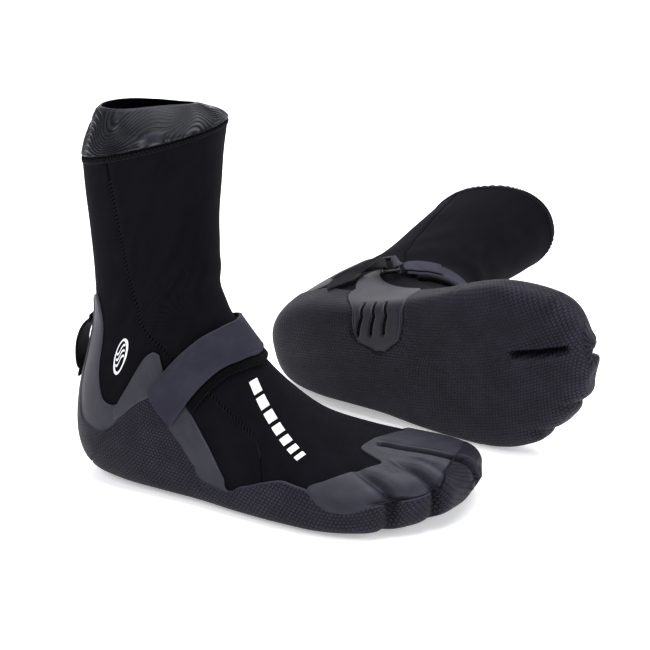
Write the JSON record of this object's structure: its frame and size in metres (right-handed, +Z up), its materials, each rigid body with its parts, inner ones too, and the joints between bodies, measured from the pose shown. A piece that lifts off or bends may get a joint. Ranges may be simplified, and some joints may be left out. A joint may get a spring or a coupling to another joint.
{
  "type": "neoprene boots",
  "caption": "Pair of tall split-toe neoprene boots with moulded rubber soles, glide cuffs, instep straps and heel pull loops.",
  "frame": {"origin": "centre of the pair's footprint box, on the floor", "axes": "+X towards the toes of the standing right boot, +Y towards its inner side and the left boot, +Z up"},
  "size_m": [0.3342, 0.4492, 0.2602],
  "materials": {
    "neoprene": "matte jersey-faced neoprene",
    "seam_tape": "matte",
    "tread_rubber": "satin, finely textured",
    "smooth_rubber": "satin",
    "cuff_skin": "glossy raised wave print",
    "stitching": "matte thread",
    "loop_pile": "matte pile",
    "hook_tape": "matte",
    "strap_rubber": "satin, finely ribbed",
    "webbing": "woven, matte",
    "ring_plastic": "moulded, satin",
    "white_print": "matte print"
  },
  "bodies": {
    "right_boot": {"right_front_panel": "neoprene", "right_rear_panel": "neoprene", "right_footbed_panel": "neoprene", "right_toe_divider": "neoprene", "right_outer_seam_tape": "seam_tape", "right_inner_seam_tape": "seam_tape", "right_outsole": "tread_rubber", "right_arch_patch": "smooth_rubber", "right_toe_cap": "smooth_rubber", "right_outer_heel_overlay": "smooth_rubber", "right_inner_heel_overlay": "smooth_rubber", "right_side_wedge": "smooth_rubber", "right_cuff_band": "cuff_skin", "right_cuff_stitching": "stitching", "right_strap_pad": "loop_pile", "right_ring_webbing": "webbing", "right_heel_pull_loop": "webbing", "right_side_emblem": "white_print", "right_vamp_print": "white_print"},
    "right_strap": {"right_hook_patch": "hook_tape", "right_instep_strap": "strap_rubber", "right_strap_return_tab": "strap_rubber"},
    "right_ring": {"right_strap_ring": "ring_plastic"},
    "left_boot": {"left_front_panel": "neoprene", "left_rear_panel": "neoprene", "left_footbed_panel": "neoprene", "left_toe_divider": "neoprene", "left_outer_seam_tape": "seam_tape", "left_inner_seam_tape": "seam_tape", "left_outsole": "tread_rubber", "left_arch_patch": "smooth_rubber", "left_toe_cap": "smooth_rubber", "left_outer_heel_overlay": "smooth_rubber", "left_inner_heel_overlay": "smooth_rubber", "left_side_wedge": "smooth_rubber", "left_cuff_band": "cuff_skin", "left_cuff_stitching": "stitching", "left_strap_pad": "loop_pile", "left_ring_webbing": "webbing", "left_heel_pull_loop": "webbing", "left_side_emblem": "white_print", "left_vamp_print": "white_print"},
    "left_strap": {"left_hook_patch": "hook_tape", "left_instep_strap": "strap_rubber", "left_strap_return_tab": "strap_rubber"},
    "left_ring": {"left_strap_ring": "ring_plastic"}
  },
  "joints": [
    {"name": "left_boot_lift", "type": "slide", "parent": "right_boot", "child": "left_boot", "axis": [0, 0, 1], "range_m": [0, 0.3]},
    {"name": "right_ring_swing", "type": "hinge", "parent": "right_boot", "child": "right_ring", "pos_m": [-0.09041, -0.12363, 0.07623], "axis": [-0.6516, -0.0583, 0.7563], "range_deg": [0, 30]},
    {"name": "right_strap_open", "type": "hinge", "parent": "right_ring", "child": "right_strap", "pos_m": [-0.08285, -0.12488, 0.08265], "axis": [-0.6516, -0.0583, 0.7563], "range_deg": [0, 110]},
    {"name": "left_ring_swing", "type": "hinge", "parent": "left_boot", "child": "left_ring", "pos_m": [-0.01507, 0.03876, 0.08912], "axis": [0.3861, -0.9194, 0.075], "range_deg": [0, 30]},
    {"name": "left_strap_open", "type": "hinge", "parent": "left_ring", "child": "left_strap", "pos_m": [-0.00592, 0.04268, 0.09008], "axis": [0.3861, -0.9194, 0.075], "range_deg": [0, 110]}
  ],
  "couplings": [
    {"joint": "right_ring_swing", "follows": "right_strap_open", "ratio": 0.25},
    {"joint": "left_ring_swing", "follows": "left_strap_open", "ratio": 0.25}
  ]
}
